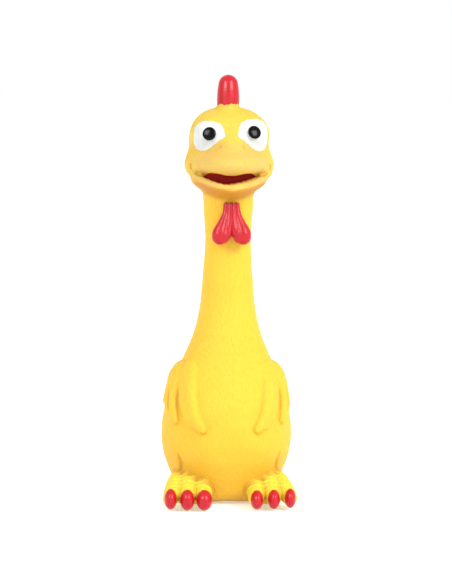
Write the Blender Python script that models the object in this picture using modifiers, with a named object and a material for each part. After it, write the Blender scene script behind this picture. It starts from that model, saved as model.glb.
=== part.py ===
"""Rubber chicken: a hollow latex squeeze toy that stands on its feet and base, with a reed squeaker in the base.

The latex casting is divided where it flexes, so that each stretch of rubber is one rigid solid between joints:
a torso with a pressable belly and back, three neck sleeves whose round ends nest in each other, a head with a
hinged lower beak, a comb and two wattles. Everything is in millimetres here and scaled to metres as it is made.
The chicken faces -Y, its left side is +X, and the origin is on the floor under the middle of the toy.
"""

import math

import bmesh
import bpy
from mathutils import Euler, Matrix, Vector

MM = 0.001  # metres in a millimetre

# Driving dimensions
HEIGHT = 280.0  # floor to the top of the comb
WALL = 2.4  # latex thickness
GAP = 0.35  # clearance between neighbouring pieces
FRONT_REACH = 48.5  # middle of the toy to the front of the toenails, and to the tip of the tail

# Torso: outer radius at each height, and how much flatter the belly is from front to back
TORSO_TOP = 118.0
BASE_RADIUS = 24.0
TORSO_OUTLINE = [
    (20.2, TORSO_TOP), (22.8, 109.0), (26.0, 100.0), (30.2, 91.0), (34.8, 82.0), (38.8, 72.0), (41.4, 61.0),
    (42.7, 50.0), (42.7, 40.0), (41.0, 30.0), (37.8, 20.0), (33.2, 10.0), (29.0, 3.2), (BASE_RADIUS, 0.0),
]
BELLY_DEPTH = 0.9  # front-to-back size of the belly over its width
ROUND_WITHIN, FLAT_BEYOND = 20.3, 29.0  # radii up to which a section stays round, and from which it is flattened

# Pressable windows in the belly and the back. The tail stands on the back's
BELLY_WINDOW = (58.0, 18.0, 25.0)  # height of the middle, half-width, half-height
BACK_WINDOW = (61.0, 23.0, 33.0)
WINDOW_NEAR_Y, PANEL_Y = 10.0, 35.0  # where the windows' cutters start, and the panels' origins

# Squeaker seat in the base
SEAT_RADIUS, SEAT_DEPTH = 16.6, 2.0
SEAT_HOLE_RADIUS, SEAT_FLOOR = 13.3, 4.5

# Neck joints: pivot heights, and the radii of the sleeves there
BEND_Z, SWAY_Z, TURN_Z, NOD_Z = TORSO_TOP, 150.0, 167.0, 204.0
NECK_RADIUS = 15.0

# Head: ellipsoids as centre and radii
SKULL = ((0.0, 2.0, 236.0), (26.2, 23.0, 23.5))
BROW = ((13.5, -9.0, 243.0), (12.0, 12.0, 12.0))
CHEEKS = ((0.0, -5.0, 222.0), (28.8, 19.5, 12.5))
MUZZLE = ((0.0, -19.5, 220.5), (20.5, 24.0, 10.0))
JAW = ((0.0, -17.0, 211.5), (18.8, 21.5, 10.5))
COLLAR_RADIUS = 17.4
MOUTH_ROOF_Z, MOUTH_FLOOR_Z, MOUTH_BACK_Y, MOUTH_BACK_HALF_WIDTH = 216.0, 210.5, -18.3, 13.0
JAW_PIVOT = (0.0, -16.0, 213.5)
EYE = ((14.0, -13.0, 241.3), (10.2, 10.4, 10.4))
PUPIL = ((14.7, -22.0, 242.4), (4.4, 3.6, 4.4))

# Comb, on a round root that lies in a groove along the top of the head
COMB_ROOT_Z, COMB_ROOT_RADIUS, COMB_ROOT_Y = 259.5, 6.8, (-12.5, 19.0)
COMB_LOBES = [
    ((0.0, -6.0, 267.0), (7.4, 7.0, HEIGHT - 267.0)),
    ((0.0, 5.0, 265.0), (6.6, 6.6, 11.0)),
    ((0.0, 14.0, 262.0), (5.8, 6.0, 8.5)),
]

# Wattles, which hang in front of the upper neck
WATTLE_PIVOT_Y, WATTLE_PIVOT_Z = -17.5, 194.5
WATTLE_STEM = ((3.1, -18.0, 186.4), (2.8, 4.2, 8.2))
WATTLE_LOBE = ((6.6, -18.6, 178.5), (6.2, 5.4, 8.0))

# Wings, as pads laid on the torso from the shoulder to the tip: angle round from the side towards the front in
# degrees, height, half-width along the torso, half-height. Each stands up from the torso by WING_RISE.
WING_PADS = [(18.0, 80.0, 17.0, 13.0), (27.0, 68.0, 18.0, 12.0), (47.0, 55.0, 12.0, 9.0), (63.0, 47.5, 7.0, 5.0)]
WING_RISE, WING_SUNK = 3.8, 3.2
WING_ROOT = (32.0, -14.0, 71.0)

# Feet and tail
TOE_X = (16.3, 26.9, 37.2)
TOE_END_Y, TOE_MIDDLE_Y, TOE_Z = -42.0, -30.0, 6.6
TOE_RADII = (5.6, 18.0, 7.2)
ANKLE = ((26.0, -18.0, 11.0), (13.5, 13.0, 13.0))
HEEL = ((25.0, 2.0, 5.0), (9.0, 15.0, 6.5))
NAIL_RADII = (4.2, FRONT_REACH + TOE_END_Y - 0.3, 6.3)
TAIL_Y, TAIL_Z = 35.8, 47.0
TAIL_FEATHERS = [(0.0, 13.5, 8.5), (-7.0, 10.0, 6.0), (7.0, 10.0, 6.0)]  # sideways place, length, height offset

# Squeaker, whose heights are above the floor
FLANGE_RADIUS, HOUSING_RADIUS, BORE_RADIUS = 16.2, 12.9, 11.6
HOUSING_BOTTOM, HOUSING_TOP = 0.5, 16.0
GRILLE_RADIUS, GRILLE_HOLES, GRILLE_HOLE_RADIUS, GRILLE_RING_RADIUS = 10.9, 6, 1.4, 6.4
REED_BLOCK_Z, REED_Z, REED_THICKNESS = (3.6, 9.0), 9.5, 0.35
REED_WIDTH, REED_LENGTH, REED_ROOT_Y = 4.6, 13.0, 6.0
CAP_Z, CAP_HOLE_RADIUS = (13.6, 15.2), 4.0

STEPS = 24  # sides of a turned shape


# ---------------------------------------------------------------------------------------------- mesh tools


def mesh_of(bm):
    """A mesh from a bmesh, in metres, with its faces turned outwards."""
    bmesh.ops.remove_doubles(bm, verts=bm.verts, dist=1e-5)
    bmesh.ops.recalc_face_normals(bm, faces=bm.faces)
    mesh = bpy.data.meshes.new("solid")
    bm.to_mesh(mesh)
    bm.free()
    mesh.transform(Matrix.Scale(MM, 4))
    return mesh


def evaluated(obj, helpers=()):
    """The object's mesh with its modifiers applied. The object and its helpers are removed."""
    result = bpy.data.meshes.new_from_object(obj.evaluated_get(bpy.context.evaluated_depsgraph_get()))
    for used in [obj, *helpers]:
        bpy.data.objects.remove(used)
    return result


def scratch_object(name, mesh):
    obj = bpy.data.objects.new(name, mesh)
    scratch.objects.link(obj)
    return obj


def turned(profile, reshape=None):
    """A closed outline of (radius, height) points turned about Z. reshape may move each finished point."""
    bm = bmesh.new()
    points = [bm.verts.new((radius, 0.0, height)) for radius, height in profile]
    for pair in zip(points, points[1:] + points[:1]):
        bm.edges.new(pair)
    outline = bpy.data.meshes.new("outline")
    bm.to_mesh(outline)
    bm.free()
    turning = scratch_object("turning", outline)
    screw = turning.modifiers.new("turn", "SCREW")
    screw.steps = screw.render_steps = STEPS
    screw.use_merge_vertices = True
    screw.merge_threshold = 1e-4
    solid = bmesh.new()
    solid.from_mesh(evaluated(turning))
    bmesh.ops.dissolve_degenerate(solid, dist=1e-4, edges=solid.edges)
    if reshape:
        for vertex in solid.verts:
            reshape(vertex.co)
    return mesh_of(solid)


def ellipsoid(centre, radii, tilt=(0.0, 0.0, 0.0), segments=14, rings=8):
    bm = bmesh.new()
    bmesh.ops.create_uvsphere(bm, u_segments=segments, v_segments=rings, radius=1.0)
    placed = Matrix.LocRotScale(Vector(centre), Euler(tilt), Vector(radii))
    bmesh.ops.transform(bm, matrix=placed, verts=bm.verts)
    return mesh_of(bm)


def box(low, high):
    bm = bmesh.new()
    bmesh.ops.create_cube(bm, size=1.0)
    centre = (Vector(low) + Vector(high)) / 2
    size = Vector(high) - Vector(low)
    bmesh.ops.transform(bm, matrix=Matrix.LocRotScale(centre, None, size), verts=bm.verts)
    return mesh_of(bm)


def cylinder(start, end, radius, segments=STEPS, stretch=(1.0, 1.0)):
    """A cylinder from start to end. stretch widens its round section along its own first two axes."""
    start, end = Vector(start), Vector(end)
    bm = bmesh.new()
    bmesh.ops.create_cone(
        bm, cap_ends=True, segments=segments, radius1=radius, radius2=radius, depth=(end - start).length
    )
    turn = (end - start).to_track_quat("Z", "X")
    size = Vector((stretch[0], stretch[1], 1.0))
    bmesh.ops.transform(bm, matrix=Matrix.LocRotScale((start + end) / 2, turn, size), verts=bm.verts)
    return mesh_of(bm)


def combine(operation, mesh, *others):
    """The Boolean of a mesh with each of the others in turn, as a new mesh."""
    base = scratch_object("base", mesh)
    tools = [scratch_object("tool", other) for other in others]
    for tool in tools:
        modifier = base.modifiers.new("cut", "BOOLEAN")
        modifier.operation = operation
        modifier.object = tool
    return evaluated(base, tools)


def union(*meshes):
    return combine("UNION", *meshes)


def cut(mesh, *tools):
    return combine("DIFFERENCE", mesh, *tools)


def overlap(mesh, *tools):
    return combine("INTERSECT", mesh, *tools)


def mirrored(point, side=-1):
    """A point given for the left side, moved to that side: 1 is left, -1 is right."""
    return (point[0] * side, point[1], point[2])


def reflected(mesh):
    """The right side's copy of a mesh made for the left side."""
    copy = mesh.copy()
    copy.transform(Matrix.Scale(-1, 4, (1, 0, 0)))
    copy.flip_normals()
    return copy


def grown(shape, by):
    """An ellipsoid's centre and radii, with the radii larger by so much."""
    centre, radii = shape
    return centre, tuple(radius + by for radius in radii)


# ------------------------------------------------------------------------------------------ scene and looks


def clear_scene():
    for obj in list(bpy.data.objects):
        bpy.data.objects.remove(obj)


def make_material(name, colour, roughness, metallic=0.0):
    material = bpy.data.materials.new(name)
    material.use_nodes = True
    shader = material.node_tree.nodes["Principled BSDF"]
    shader.inputs["Base Color"].default_value = (*colour, 1.0)
    shader.inputs["Roughness"].default_value = roughness
    shader.inputs["Metallic"].default_value = metallic
    material.diffuse_color = (*colour, 1.0)
    return material


def place(name, mesh, material, pivot=(0.0, 0.0, 0.0)):
    """Adds the mesh as a named object whose origin is at the pivot, in millimetres."""
    origin = Vector(pivot) * MM
    mesh.transform(Matrix.Translation(-origin))
    mesh.shade_smooth()
    mesh.set_sharp_from_angle(angle=math.radians(40))
    mesh.materials.clear()
    mesh.materials.append(material)
    mesh.name = name
    obj = bpy.data.objects.new(name, mesh)
    obj.location = origin
    toy.objects.link(obj)
    return obj


def place_pair(name, mesh, material, pivot):
    """Adds the left side's mesh and its reflection."""
    right = reflected(mesh)
    place(f"{name}_left", mesh, material, pivot)
    place(f"{name}_right", right, material, mirrored(pivot))


# --------------------------------------------------------------------------------------------------- torso


def flatten_belly(point):
    """Makes the wide sections of the torso shallower from front to back, and leaves the narrow ones round."""
    radius = math.hypot(point.x, point.y)
    share = min(1.0, max(0.0, (radius - ROUND_WITHIN) / (FLAT_BEYOND - ROUND_WITHIN)))
    point.y *= 1.0 - (1.0 - BELLY_DEPTH) * share * share * (3 - 2 * share)


def torso_shell():
    """The torso's wall, with the squeaker's seat in the base and an open top."""
    inside = [(radius - WALL, height) for radius, height in TORSO_OUTLINE[:-2]]
    inside[0] = (inside[0][0], TORSO_TOP)
    inner_floor = [(BASE_RADIUS - 1.5, WALL), (SEAT_HOLE_RADIUS + 4.5, WALL), (SEAT_HOLE_RADIUS + 4.0, SEAT_FLOOR)]
    seat = [(SEAT_HOLE_RADIUS, SEAT_FLOOR), (SEAT_HOLE_RADIUS, SEAT_DEPTH), (SEAT_RADIUS, SEAT_DEPTH), (SEAT_RADIUS, 0)]
    outline = TORSO_OUTLINE + seat[::-1] + inner_floor[::-1] + inside[::-1]
    return turned(outline, reshape=flatten_belly)


def torso_block(clearance):
    """The torso's outer shape as one solid, larger by the clearance, to cut the pieces that lie against it."""
    outline = [(radius + clearance, height) for radius, height in TORSO_OUTLINE]
    return turned([(0.0, TORSO_TOP)] + outline + [(0.0, 0.0)], reshape=flatten_belly)


def torso_radius(height):
    """The outline's radius at that height."""
    for (upper_radius, upper), (lower_radius, lower) in zip(TORSO_OUTLINE, TORSO_OUTLINE[1:]):
        if lower <= height <= upper:
            return lower_radius + (upper_radius - lower_radius) * (height - lower) / (upper - lower)
    return BASE_RADIUS


def window_block(window, side, clearance):
    """The elliptical block that cuts a window in the front (side -1) or the back (side 1)."""
    height, half_width, half_height = window
    start, end = (0, side * WINDOW_NEAR_Y, height), (0, side * 60.0, height)
    return cylinder(start, end, 1.0, stretch=(half_height + clearance, half_width + clearance))


def build_torso():
    windows = [window_block(BELLY_WINDOW, -1, GAP), window_block(BACK_WINDOW, 1, GAP)]
    place("torso_skin", cut(torso_shell(), *windows), YELLOW)
    for name, window, side in (("belly_panel", BELLY_WINDOW, -1), ("back_panel", BACK_WINDOW, 1)):
        panel = overlap(torso_shell(), window_block(window, side, -GAP / 2))
        place(name, panel, YELLOW, (0, side * PANEL_Y, window[0]))


def wing_pad(angle, height, half_width, half_height):
    """An ellipsoid's points, lying on the torso with its flat side against it."""
    turn = math.radians(angle)
    reach = torso_radius(height) - WING_SUNK
    centre = Vector((reach * math.cos(turn), -reach * math.sin(turn) * BELLY_DEPTH, height))
    pad = bmesh.new()
    bmesh.ops.create_uvsphere(pad, u_segments=14, v_segments=8, radius=1.0)
    size = Vector((WING_RISE + WING_SUNK, half_width, half_height))
    placed = Matrix.LocRotScale(centre, Euler((0, 0, -turn)), size)
    points = [placed @ vertex.co for vertex in pad.verts]
    pad.free()
    return points


def hull(points):
    bm = bmesh.new()
    for point in points:
        bm.verts.new(point)
    made = bmesh.ops.convex_hull(bm, input=bm.verts)
    inside = [found for found in made["geom_interior"] if isinstance(found, bmesh.types.BMVert)]
    bmesh.ops.delete(bm, geom=inside, context="VERTS")
    return mesh_of(bm)


def build_wings():
    pads = [wing_pad(*pad) for pad in WING_PADS]
    links = [hull(first + second) for first, second in zip(pads, pads[1:])]
    place_pair("wing", cut(union(*links), torso_block(GAP)), YELLOW, WING_ROOT)


def build_tail():
    feathers = []
    for sideways, length, height in TAIL_FEATHERS:
        centre = (sideways, TAIL_Y, TAIL_Z + height - 8.5)
        feathers.append(ellipsoid(centre, (5.5, length, 10.0), (0.5, 0.0, 0.0), segments=12, rings=8))
    place("tail", cut(union(*feathers), torso_block(GAP)), YELLOW, (0, TAIL_Y, TAIL_Z))


def build_feet():
    below_floor = box((-60, -70, -30), (60, 70, 0))
    past_toes = box((-60, -70, -5), (60, TOE_END_Y, 40))
    parts = [ellipsoid(*ANKLE), ellipsoid(*HEEL)]
    for toe_x in TOE_X:
        parts.append(ellipsoid((toe_x, TOE_MIDDLE_Y, TOE_Z), TOE_RADII, segments=12, rings=8))
    place_pair("foot", cut(union(*parts), below_floor, past_toes, torso_block(GAP)), YELLOW, ANKLE[0])
    for toe_x, which in zip(TOE_X, ("inner", "middle", "outer")):
        root = (toe_x, TOE_END_Y - GAP, TOE_Z)
        behind = box((-60, TOE_END_Y - GAP, -5), (60, 0, 40))
        place_pair(f"toenail_{which}", cut(ellipsoid(root, NAIL_RADII, segments=12, rings=8), behind), RED, root)


# ---------------------------------------------------------------------------------------------------- neck


def ball_points(radius, pivot_z, first, last, count=4):
    """Points down a ball of that radius round a pivot, from one latitude to another, in degrees."""
    latitudes = [math.radians(first + (last - first) * i / (count - 1)) for i in range(count)]
    return [(radius * math.cos(a), pivot_z + radius * math.sin(a)) for a in latitudes]


def build_neck():
    """Three sleeves. The lower end of the first two is a ball that turns inside the rim below it."""
    low_ball = ball_points(TORSO_OUTLINE[0][0] - WALL - GAP, BEND_Z, 19, -28)
    lower = [(16.1, SWAY_Z), (16.6, 142.0), (17.6, 132.0), (18.8, BEND_Z + 6.8)] + low_ball
    lower_inside = [(low_ball[-1][0] - 1.8, low_ball[-1][1]), (15.4, BEND_Z), (14.2, 128.0), (13.8, SWAY_Z)]
    place("neck_lower", turned(lower + lower_inside), YELLOW, (0, 0, BEND_Z))

    mid_ball = ball_points(13.8 - GAP, SWAY_Z, 19, -28)
    middle = [(NECK_RADIUS, TURN_Z - GAP / 2), (NECK_RADIUS, SWAY_Z + 5.6)] + mid_ball
    middle_inside = [(mid_ball[-1][0] - 1.6, mid_ball[-1][1]), (11.4, SWAY_Z), (11.0, SWAY_Z + 5.0)]
    middle_inside += [(12.6, TURN_Z - 7.0), (12.6, TURN_Z - GAP / 2)]
    place("neck_middle", turned(middle + middle_inside), YELLOW, (0, 0, SWAY_Z))

    nod_ball = ball_points(NECK_RADIUS, NOD_Z, 26, -26)
    upper = nod_ball + [(15.7, NOD_Z - 7.4), (15.8, 192.0), (15.0, 178.0), (NECK_RADIUS, TURN_Z + GAP / 2)]
    upper_inside = [(12.6, TURN_Z + GAP / 2), (12.9, 178.0), (12.6, NOD_Z - 6.0), (12.6, NOD_Z), (11.6, nod_ball[0][1])]
    place("neck_upper", turned(upper + upper_inside), YELLOW, (0, 0, TURN_Z))


# ---------------------------------------------------------------------------------------------------- head


def head_ellipsoids(by, segments=20, rings=10):
    """The skull, the brows, the cheeks and the muzzle, with their radii changed by so much."""
    shapes = [SKULL, BROW, (mirrored(BROW[0]), BROW[1]), CHEEKS, MUZZLE]
    return [ellipsoid(*grown(shape, by), segments=segments, rings=rings) for shape in shapes]


def build_head():
    collar = cylinder((0, 0, NOD_Z), (0, 0, SKULL[0][2] - 14.0), COLLAR_RADIUS)
    collar_bore = cylinder((0, 0, NOD_Z - 20.0), (0, 0, SKULL[0][2] - 8.0), NECK_RADIUS + GAP)
    outside = union(*head_ellipsoids(0.0), collar)
    hollow = union(*head_ellipsoids(-WALL, segments=12, rings=8), collar_bore)
    below_roof = box((-60, -70, 190), (60, MOUTH_BACK_Y, MOUTH_ROOF_Z))
    below_collar = box((-60, -70, 190), (60, 60, NOD_Z))
    groove = cylinder(
        (0, COMB_ROOT_Y[0] - GAP, COMB_ROOT_Z), (0, COMB_ROOT_Y[1] + GAP, COMB_ROOT_Z), COMB_ROOT_RADIUS + GAP
    )
    place("head_skin", cut(outside, hollow, below_roof, below_collar, groove), YELLOW, (0, 0, NOD_Z))

    place_pair("eye_white", cut(ellipsoid(*EYE), union(*head_ellipsoids(GAP))), WHITE, EYE[0])
    place_pair("pupil", cut(ellipsoid(*PUPIL), ellipsoid(*grown(EYE, GAP))), BLACK, PUPIL[0])


def build_mouth():
    """The lower beak, a hinged tray, and the lining that closes the mouth above and behind it."""
    tray = cut(ellipsoid(*JAW), ellipsoid(*grown(JAW, -WALL)))
    room = box((-60, -70, 190), (60, MOUTH_BACK_Y - 3.2, MOUTH_FLOOR_Z))
    place("lower_beak", overlap(tray, room), AMBER, JAW_PIVOT)

    roof_low, roof_high = MOUTH_ROOF_Z + 0.6, MOUTH_ROOF_Z + 2.2
    roof_room = box((-60, -70, roof_low), (60, MOUTH_BACK_Y - 0.4, roof_high))
    roof = overlap(ellipsoid(*grown(MUZZLE, -WALL - 4 * GAP)), roof_room)
    back_low = (-MOUTH_BACK_HALF_WIDTH, MOUTH_BACK_Y - 2.0, MOUTH_ROOF_Z - 9.0)
    back_room = box(back_low, (MOUTH_BACK_HALF_WIDTH, MOUTH_BACK_Y - 0.4, roof_high - 0.2))
    back = overlap(ellipsoid(*grown(JAW, -WALL)), back_room)
    place("mouth_lining", union(roof, back), MAROON, (0, MOUTH_BACK_Y, MOUTH_ROOF_Z))


def build_comb():
    root = cylinder((0, COMB_ROOT_Y[0], COMB_ROOT_Z), (0, COMB_ROOT_Y[1], COMB_ROOT_Z), COMB_ROOT_RADIUS)
    lobes = [ellipsoid(centre, radii) for centre, radii in COMB_LOBES]
    place("comb", union(root, *lobes), RED, (0, 0, COMB_ROOT_Z))


def build_wattles():
    neck = cylinder((0, 0, 160), (0, 0, 205), 15.8 + GAP)
    lobe = union(ellipsoid(*WATTLE_STEM), ellipsoid(*WATTLE_LOBE))
    place_pair("wattle", cut(lobe, neck), RED, (0, WATTLE_PIVOT_Y, WATTLE_PIVOT_Z))


# ------------------------------------------------------------------------------------------------ squeaker


def build_squeaker():
    housing = [
        (HOUSING_RADIUS, HOUSING_TOP), (HOUSING_RADIUS, 6.6), (13.9, 5.8), (13.9, 5.2), (HOUSING_RADIUS, 4.9),
        (HOUSING_RADIUS, 1.7), (FLANGE_RADIUS, 1.7), (FLANGE_RADIUS, HOUSING_BOTTOM), (11.2, HOUSING_BOTTOM),
        (11.2, 2.0), (10.0, 2.0), (10.0, 3.2), (BORE_RADIUS, 3.2), (BORE_RADIUS, HOUSING_TOP),
    ]
    place("squeaker_housing", turned(housing), PLASTIC)

    disc = cylinder((0, 0, 0.6), (0, 0, 1.8), GRILLE_RADIUS)
    holes = [cylinder((0, 0, -1), (0, 0, 3), GRILLE_HOLE_RADIUS, segments=12)]
    for i in range(GRILLE_HOLES):
        angle = 2 * math.pi * i / GRILLE_HOLES
        x, y = GRILLE_RING_RADIUS * math.cos(angle), GRILLE_RING_RADIUS * math.sin(angle)
        holes.append(cylinder((x, y, -1), (x, y, 3), GRILLE_HOLE_RADIUS, segments=12))
    place("squeaker_grille", cut(disc, *holes), PLASTIC)

    inside = BORE_RADIUS - GAP
    slot = box((-REED_WIDTH / 2 + 0.9, -REED_LENGTH / 2, 0), (REED_WIDTH / 2 - 0.9, 1.5, 12))
    block = cut(cylinder((0, 0, REED_BLOCK_Z[0]), (0, 0, REED_BLOCK_Z[1]), inside), slot)
    place("reed_block", block, PLASTIC)

    reed_low = (-REED_WIDTH / 2, REED_ROOT_Y - REED_LENGTH, REED_Z)
    reed_high = (REED_WIDTH / 2, REED_ROOT_Y, REED_Z + REED_THICKNESS)
    place("reed_tongue", box(reed_low, reed_high), BRASS, (0, 2.0, REED_Z))

    clamp_low = REED_Z + REED_THICKNESS + GAP
    clamp = overlap(cylinder((0, 0, clamp_low), (0, 0, 13.0), inside), box((-20, 2.4, 0), (20, 20, 20)))
    place("reed_clamp", clamp, PLASTIC)

    cap = cylinder((0, 0, CAP_Z[0]), (0, 0, CAP_Z[1]), inside)
    cap_hole = cylinder((0, 0, 0), (0, 0, 20), CAP_HOLE_RADIUS, segments=16)
    place("squeaker_cap", cut(cap, cap_hole), PLASTIC)


clear_scene()
toy = bpy.data.collections.new("rubber_chicken")
scratch = bpy.data.collections.new("cutters")
for collection in (toy, scratch):
    bpy.context.scene.collection.children.link(collection)

YELLOW = make_material("latex_yellow", (1.0, 0.68, 0.06), 0.55)
AMBER = make_material("latex_amber", (1.0, 0.55, 0.08), 0.55)
RED = make_material("paint_red", (0.80, 0.03, 0.05), 0.35)
MAROON = make_material("paint_maroon", (0.20, 0.01, 0.005), 0.6)
WHITE = make_material("paint_white", (0.95, 0.95, 0.95), 0.4)
BLACK = make_material("paint_black", (0.02, 0.02, 0.02), 0.2)
PLASTIC = make_material("squeaker_plastic", (0.92, 0.92, 0.88), 0.4)
BRASS = make_material("reed_brass", (0.80, 0.60, 0.25), 0.3, metallic=1.0)

build_torso()
build_wings()
build_tail()
build_feet()
build_neck()
build_head()
build_mouth()
build_comb()
build_wattles()
build_squeaker()
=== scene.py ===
"""Looks of the rubber chicken.

Its soft skin is sculpted as one smooth field of distances, meshed, and cut into pieces where it flexes and
where its paint changes. Lengths are in millimetres while shapes are worked out, and in metres once a mesh is
made. The toy faces -Y, and its left is +X.
"""

import math

import bpy
import numpy as np
from mathutils import Matrix, Vector


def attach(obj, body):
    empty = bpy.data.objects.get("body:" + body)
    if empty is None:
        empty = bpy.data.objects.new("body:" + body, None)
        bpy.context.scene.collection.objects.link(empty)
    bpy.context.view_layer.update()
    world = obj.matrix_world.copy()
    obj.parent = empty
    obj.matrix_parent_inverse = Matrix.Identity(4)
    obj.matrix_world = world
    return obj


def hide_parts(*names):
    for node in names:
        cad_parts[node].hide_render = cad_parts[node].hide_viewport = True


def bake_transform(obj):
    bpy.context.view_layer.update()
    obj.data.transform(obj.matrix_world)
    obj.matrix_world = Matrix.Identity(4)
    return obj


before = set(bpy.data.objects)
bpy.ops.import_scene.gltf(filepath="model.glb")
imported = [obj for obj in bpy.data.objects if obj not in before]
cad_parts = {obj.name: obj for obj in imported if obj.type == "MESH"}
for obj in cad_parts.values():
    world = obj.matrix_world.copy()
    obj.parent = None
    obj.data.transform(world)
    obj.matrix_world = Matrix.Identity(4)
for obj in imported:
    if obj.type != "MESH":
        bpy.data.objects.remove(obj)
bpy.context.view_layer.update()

MM = 0.001

# ---------------------------------------- field tools
# A field takes points as an array of rows x, y, z and gives about how far outside a shape each one lies, with
# numbers below 0 inside.

GRADIENT_STEP, LONGEST_MOVE = 0.05, 0.6


def join(a, b, soft):
    """The nearer of two fields, with a fillet of about that size."""
    share = np.clip(0.5 + 0.5 * (b - a) / soft, 0, 1)
    return b + (a - b) * share - soft * share * (1 - share)


def carve(a, b, soft):
    """The first field with the second cut away."""
    return -join(-a, b, soft)


def egg(p, centre, radii):
    """An ellipsoid."""
    q = p - np.array(centre, np.float32)
    radii = np.array(radii, np.float32)
    near = np.linalg.norm(q / radii, axis=1)
    far = np.linalg.norm(q / radii**2, axis=1)
    return near * (near - 1) / np.maximum(far, 1e-6)


def rod(p, start, end):
    """A round bar between two points, each given as x, y, z, radius."""
    a, b = np.array(start[:3], np.float32), np.array(end[:3], np.float32)
    along = b - a
    q = p - a
    share = np.clip(q @ along / (along @ along), 0, 1)
    return np.linalg.norm(q - share[:, None] * along, axis=1) - (start[3] + (end[3] - start[3]) * share)


def curve(points, pieces):
    """A smooth line through the points, as a denser list. Each point is a row of numbers."""
    rows = np.array(points, float)
    rows = np.concatenate([[2 * rows[0] - rows[1]], rows, [2 * rows[-1] - rows[-2]]])
    found = []
    for a, b, c, d in zip(rows, rows[1:], rows[2:], rows[3:]):
        for t in np.arange(pieces) / pieces:
            found.append(
                0.5
                * (2 * b + (c - a) * t + (2 * a - 5 * b + 4 * c - d) * t**2 + (3 * b - a - 3 * c + d) * t**3)
            )
    return [*found, rows[-2]]


def chain(p, points, pieces=4):
    """A tube along a smooth line through points, each given as x, y, z, radius."""
    line = curve(points, pieces)
    found = rod(p, line[0], line[1])
    for start, end in zip(line[1:], line[2:]):
        found = np.minimum(found, rod(p, start, end))
    return found


def ramp(value, low, high):
    """Rises smoothly from 0 to 1 between low and high."""
    t = np.clip((value - low) / (high - low), 0, 1)
    return t * t * (3 - 2 * t)


def mirrored(p):
    """The points with the right side folded on to the left, for a shape that is alike on both sides."""
    return np.column_stack([np.abs(p[:, 0]), p[:, 1], p[:, 2]])


def slope(field, p):
    """The field's gradient."""
    offsets = np.array([(1, -1, -1), (-1, -1, 1), (-1, 1, -1), (1, 1, 1)], np.float32)
    total = np.zeros_like(p)
    for offset in offsets:
        total += field(p + offset * GRADIENT_STEP)[:, None] * offset
    return total / (4 * GRADIENT_STEP)


def settle(field, p, rounds=3):
    """Moves points on to the surface, and gives the outward directions there."""
    for _ in range(rounds):
        g = slope(field, p)
        size = np.maximum((g * g).sum(1), 0.05)
        p = p - np.clip(field(p) / size, -LONGEST_MOVE, LONGEST_MOVE)[:, None] * g
    g = slope(field, p)
    return p, g / np.maximum(np.linalg.norm(g, axis=1), 1e-6)[:, None]


# ---------------------------------------- torso and neck

# Height and half the width of the body there
PROFILE = [
    (-4, 24.5), (0, 27.2), (3, 29.6), (8, 32.6), (14, 35.6), (20, 38.2), (30, 41.8),
    (40, 43.3), (50, 43.1), (60, 41.5), (70, 38.9), (80, 35.4), (90, 30.9), (100, 26.4),
    (108, 23.1), (116, 20.7), (124, 19.0), (132, 17.8), (142, 17.0), (150, 16.4), (158, 15.8),
    (166, 15.25), (173, 15.0), (180, 15.4), (188, 16.0), (196, 16.5), (206, 17.0), (230, 17.6),
]
HEIGHT_STEP, SMOOTH_STEPS, SMOOTH_WIDTH = 0.5, 16, 6.0
HEIGHTS = np.arange(-4, 230, HEIGHT_STEP)
RADII = np.interp(HEIGHTS, *zip(*PROFILE))
SPREAD = np.exp(-((np.arange(-SMOOTH_STEPS, SMOOTH_STEPS + 1) / SMOOTH_WIDTH) ** 2))
RADII = np.convolve(np.pad(RADII, SMOOTH_STEPS, "edge"), SPREAD / SPREAD.sum(), "valid")
STEEPNESS = np.hypot(1, np.gradient(RADII, HEIGHT_STEP))
FLAT = 0.9  # depth of the belly over its width
NECK_END = 216.0  # inside the head
SEAT_RADIUS, SEAT_TOP = 16.5, 16.6  # the squeaker's seat in the base
BASE_LIFT, LIFT_START, LIFT_END = 5.6, 13, 31  # the base rises towards its front edge
BASE_ROUNDING = 3.0


def flatness(radius):
    """Depth over width where the body has that radius: the belly is flattened, and the neck is round."""
    return 1 - (1 - FLAT) * ramp(radius, 20.3, 29.0)


def on_torso(turn, height, sunk=0.0):
    """A point on the torso, turn degrees from the side towards the front, sunk so far below the surface."""
    radius = float(np.interp(height, HEIGHTS, RADII))
    flat = float(flatness(np.array(radius)))
    a = math.radians(turn)
    x, y = radius * math.cos(a), -radius * flat * math.sin(a)
    nx, ny = math.cos(a), -math.sin(a) / flat
    size = math.hypot(nx, ny)
    return x - nx / size * sunk, y - ny / size * sunk, height


# Each feather of a wing, from the front one to the rear one, as rows of turn in degrees, height, radius and
# how far it stands out
FEATHERS = [
    [
        (41, 85.5, 4.6, 1.0), (44.5, 79, 4.6, 2.6), (50, 70, 4.6, 3.1),
        (56, 61, 4.4, 3.1), (61.5, 55, 3.9, 2.9), (65, 52.0, 3.3, 2.8),
    ],
    [(34, 87, 8.5, 1.6), (38, 77, 8.5, 2.2), (43, 67, 8.0, 2.2), (50, 58.5, 6.5, 2.0), (57, 54.4, 5.0, 1.8)],
    [(17, 86, 5.0, 0.8), (21, 75, 5.0, 3.0), (26, 66, 4.6, 3.1), (31.5, 59, 3.9, 2.8), (35, 56.0, 3.0, 2.6)],
    [(2, 85, 5.6, 0.8), (5, 74, 5.2, 2.8), (10, 66, 4.4, 2.4), (15, 62, 3.6, 1.8)],
    [(-13, 84.5, 5.8, 0.6), (-10, 73, 5.4, 2.8), (-4, 65, 4.4, 2.2)],
    [(-29, 82, 5.6, 0.4), (-25, 71, 5.2, 2.4), (-18, 64.5, 4.0, 1.8)],
]
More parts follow.
